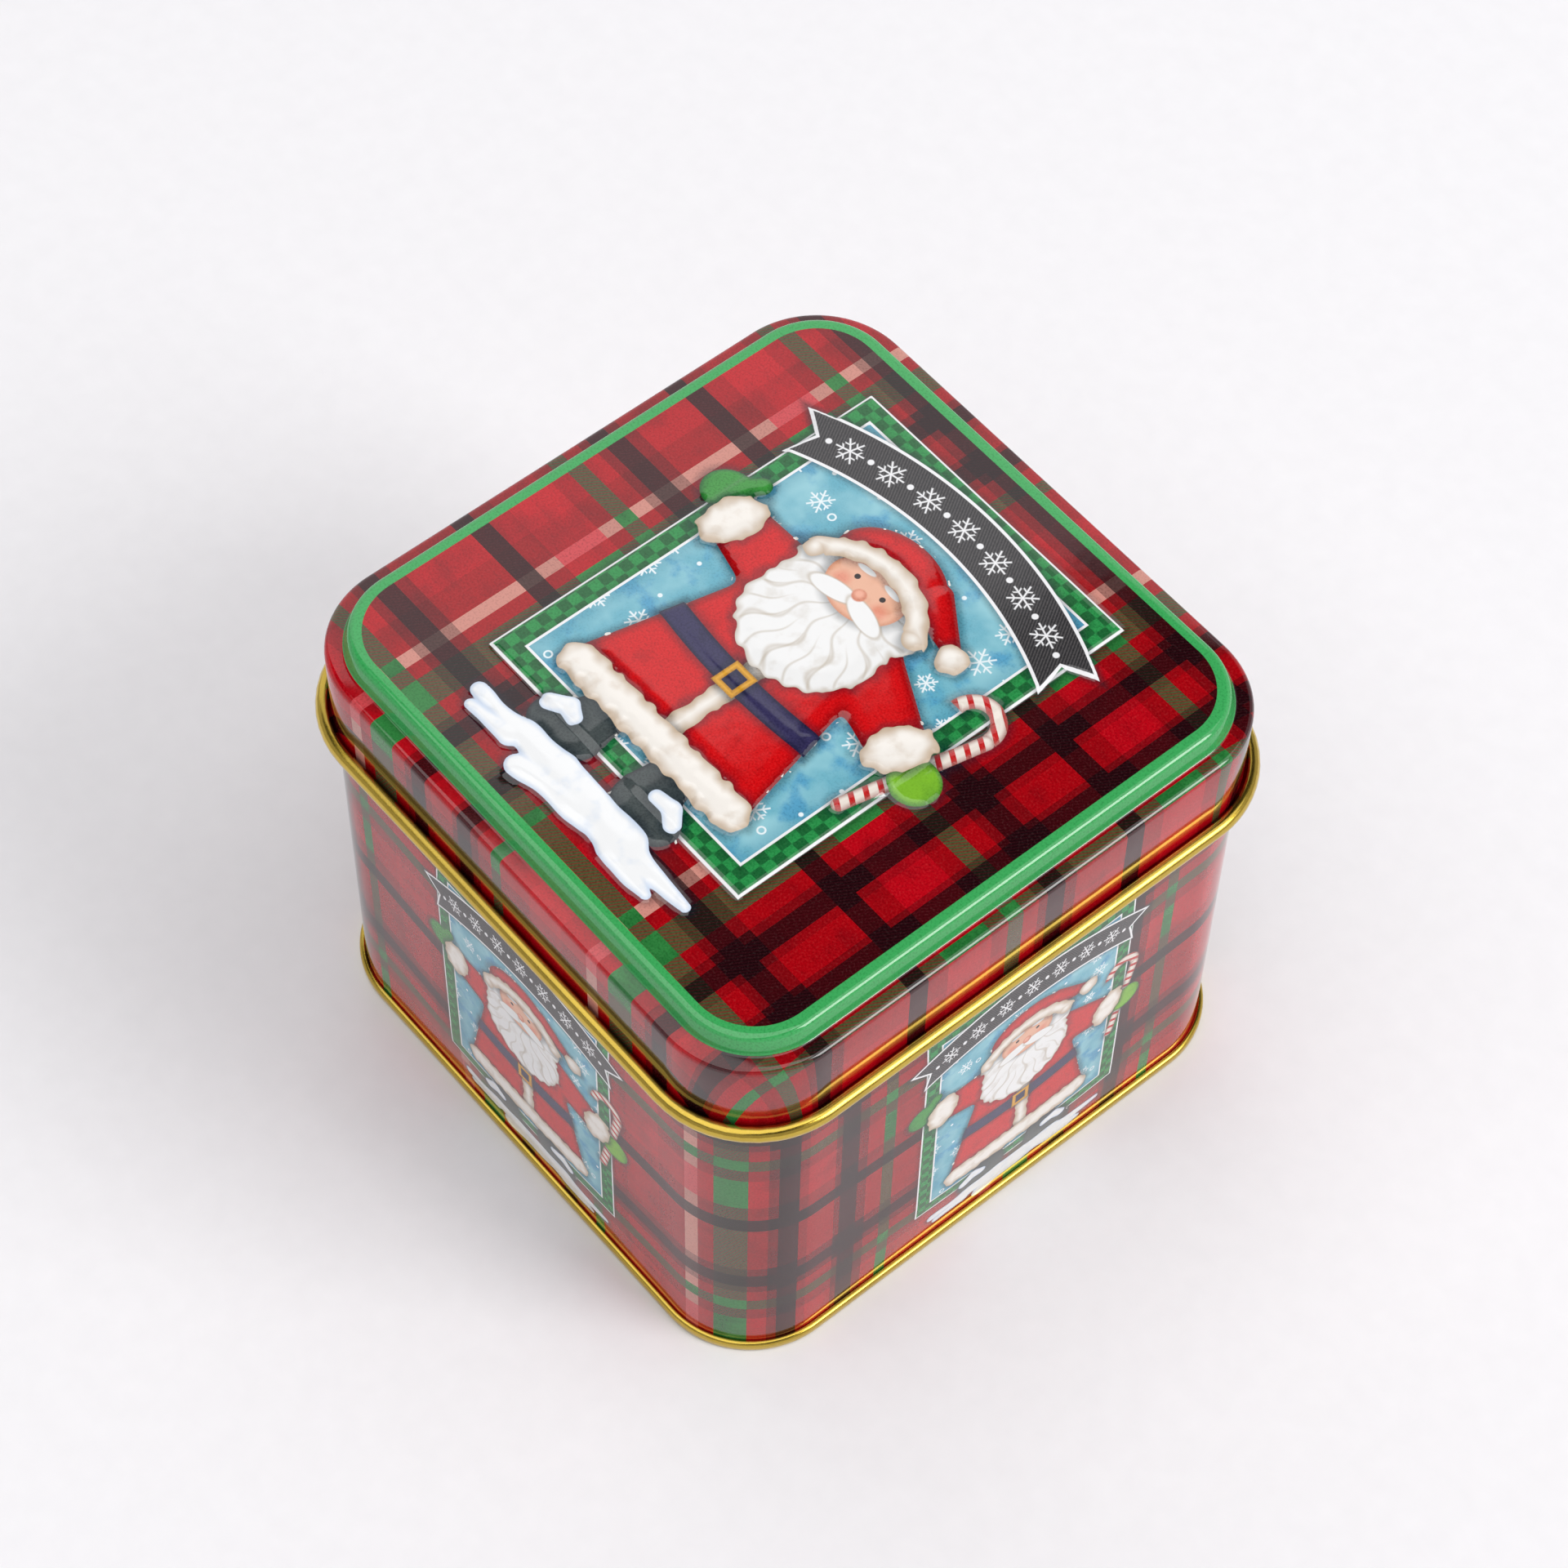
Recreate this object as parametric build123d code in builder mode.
"""Square cookie tin with rounded corners: a printed body, a seamed base and a lift-off lid.

Everything is pressed or rolled from one gauge of tinplate, so each piece is a section of thin
sheet, drawn as (outward, up) and run once round a rounded square.  All corner arcs of the tin
share the same four centres.

Frame: origin at the middle of the tin, on the plane it stands on.  +Z is up, -Y is the front.
Units are millimetres.
"""

import os

from build123d import *

# ---- driving dimensions -------------------------------------------------------------------
sheet = 0.25                    # tinplate thickness
corner_centre = 31.7            # distance of the corner arcs' centres from the tin's two mid planes
running_gap = 0.22              # free space between lid and body, each side and on top
seam_gap = 0.05                 # free space between the sheets inside the folded seams

# lid: half widths are measured to the outer face of the sheet
lid_skirt_half = 45.25
lid_plateau_half = 41.9
lid_step_half = 42.7            # foot of the step that raises the plateau above the ledge
lid_plateau_top = 74.9
lid_ledge_top = 72.3
lid_top_bend = 0.9              # bend radii of the lid, on the middle of the sheet
lid_foot_bend = 0.6
lid_edge_bend = 0.8
lid_curl_radius = 1.15          # outside radius of the open curl at the skirt's lower edge
lid_curl_height = 59.6
lid_curl_angle = 295            # how far the sheet is rolled round

# picture embossed in the lid
picture_width = 48.7
picture_height = 62.7
picture_centre = (-0.85, 3.85)
picture_rise = 0.4
figure_rise = 0.5
emboss_slope = 45               # degrees off vertical
coat_outline = [(-8, 11), (-16.2, -22), (14.5, -22), (6.3, 11)]     # anticlockwise
coat_corner = 3
head_centre = (-0.85, 10)
head_radius = 10

# body
wall_half = lid_skirt_half - sheet - running_gap
wall_curl_radius = 0.9          # hemmed top edge, rolled inwards
wall_curl_angle = 290
wall_flange_half = 45.25
wall_flange_height = 0.6        # underside of the flange that the base is folded over
wall_flange_bend = 0.3
side_seam_width = 3.5           # flattened lock seam on the inner face of the back wall
side_seam_thickness = 0.5
side_seam_place = 24            # along X
side_seam_groove = (0.4, 0.1)   # width and depth of the line that it leaves outside

# base
base_rim_half = 45.65
base_rim_height = 1.7
base_panel_underside = 1.5
base_bend = 0.45

wall_curl_height = lid_ledge_top - sheet - running_gap - wall_curl_radius
wall_line = wall_half - sheet / 2 - corner_centre
side_seam_bottom = base_panel_underside + sheet + 1
side_seam_top = wall_curl_height - wall_curl_radius - 1


# ---- construction -------------------------------------------------------------------------
def run_round(section):
    """Run a section, drawn from the corner centre as (outward, up), round the rounded square."""
    for side in range(4):
        outward = Vector(1, 0, 0).rotate(Axis.Z, 90 * side)
        along = Vector(0, 1, 0).rotate(Axis.Z, 90 * side)
        start = Plane((outward - along) * corner_centre, x_dir=outward, z_dir=-along)
        finish = Plane((outward + along) * corner_centre, x_dir=outward, z_dir=-along)
        with BuildSketch(start) as straight:
            add(section.sketch)
        extrude(straight.sketch, amount=-2 * corner_centre)
        with BuildSketch(finish) as corner:
            add(section.sketch)
        revolve(corner.sketch, axis=Axis(finish.origin, (0, 0, 1)), revolution_arc=90)


def panel(underside):
    """The flat square between the four corner centres, one sheet thick."""
    with BuildSketch(Plane.XY.offset(underside)) as square:
        Rectangle(2 * corner_centre, 2 * corner_centre)
    extrude(square.sketch, amount=sheet)


def emboss(outline, underside, rise):
    """Press an outline of the sheet up by a rise, with sloping sides."""
    with BuildSketch(Plane.XY.offset(underside + sheet)) as outside:
        add(outline.sketch)
    extrude(outside.sketch, amount=rise, taper=emboss_slope)
    with BuildSketch(Plane.XY.offset(underside)) as inside:
        add(outline.sketch)
    extrude(inside.sketch, amount=rise, taper=emboss_slope, mode=Mode.SUBTRACT)


# ---- outlines of the embossing ------------------------------------------------------------
with BuildSketch() as picture_outline:
    with Locations(picture_centre):
        Rectangle(picture_width, picture_height)

with BuildSketch() as figure_outline:
    with BuildLine():
        Polyline(*coat_outline, close=True)
    make_face()
    fillet(figure_outline.vertices(), radius=coat_corner)
    with Locations(head_centre):
        Circle(head_radius)

# ---- lid ----------------------------------------------------------------------------------
lid_skirt_line = lid_skirt_half - sheet / 2 - corner_centre
lid_curl_line = lid_curl_radius - sheet / 2

with BuildSketch() as lid_section:
    with BuildLine():
        FilletPolyline(
            (0, lid_plateau_top - sheet / 2),
            (lid_plateau_half - corner_centre, lid_plateau_top - sheet / 2),
            (lid_step_half - corner_centre, lid_ledge_top - sheet / 2),
            (lid_skirt_line, lid_ledge_top - sheet / 2),
            (lid_skirt_line, lid_curl_height),
            radius=[lid_top_bend, lid_foot_bend, lid_edge_bend],
        )
        CenterArc((lid_skirt_line + lid_curl_line, lid_curl_height), lid_curl_line, 180, lid_curl_angle)
    trace(line_width=sheet)

with BuildPart() as lid:
    run_round(lid_section)
    panel(lid_plateau_top - sheet)
    emboss(picture_outline, lid_plateau_top - sheet, picture_rise)
    emboss(figure_outline, lid_plateau_top - sheet + picture_rise, figure_rise)

# ---- body wall ----------------------------------------------------------------------------
wall_curl_line = wall_curl_radius - sheet / 2

with BuildSketch() as wall_section:
    with BuildLine():
        CenterArc((wall_line - wall_curl_line, wall_curl_height), wall_curl_line, 0, wall_curl_angle)
        FilletPolyline(
            (wall_line, wall_curl_height),
            (wall_line, wall_flange_height + sheet / 2),
            (wall_flange_half - corner_centre, wall_flange_height + sheet / 2),
            radius=wall_flange_bend,
        )
    trace(line_width=sheet)

with BuildPart() as body_wall:
    run_round(wall_section)
    with BuildSketch(Plane.XY.offset(side_seam_bottom)):
        with Locations((side_seam_place, wall_half - sheet - side_seam_thickness / 2)):
            Rectangle(side_seam_width, side_seam_thickness)
    extrude(amount=side_seam_top - side_seam_bottom)
    with BuildSketch(Plane.XY.offset(side_seam_bottom)):
        with Locations((side_seam_place, wall_half - side_seam_groove[1] / 2)):
            Rectangle(*side_seam_groove)
    extrude(amount=side_seam_top - side_seam_bottom, mode=Mode.SUBTRACT)

# ---- base ---------------------------------------------------------------------------------
base_inner_line = wall_half - sheet - seam_gap - sheet / 2 - corner_centre
base_outer_line = base_rim_half - sheet / 2 - corner_centre
base_lip_end = wall_half + seam_gap - corner_centre

with BuildSketch() as base_section:
    with BuildLine():
        FilletPolyline(
            (0, base_panel_underside + sheet / 2),
            (base_inner_line, base_panel_underside + sheet / 2),
            (base_inner_line, sheet / 2),
            (base_outer_line, sheet / 2),
            (base_outer_line, base_rim_height - sheet / 2),
            (base_lip_end, base_rim_height - sheet / 2),
            radius=[base_bend, 0.2, base_bend, base_bend],
        )
    trace(line_width=sheet)

with BuildPart() as base_panel:
    run_round(base_section)
    panel(base_panel_underside)

# ---- written pieces -----------------------------------------------------------------------
os.makedirs("parts", exist_ok=True)
lid.part.label = "lid"
export_step(lid.part, "parts/lid.step")
body_wall.part.label = "body_wall"
export_step(body_wall.part, "parts/body_wall.step")
base_panel.part.label = "base_panel"
export_step(base_panel.part, "parts/base_panel.step")
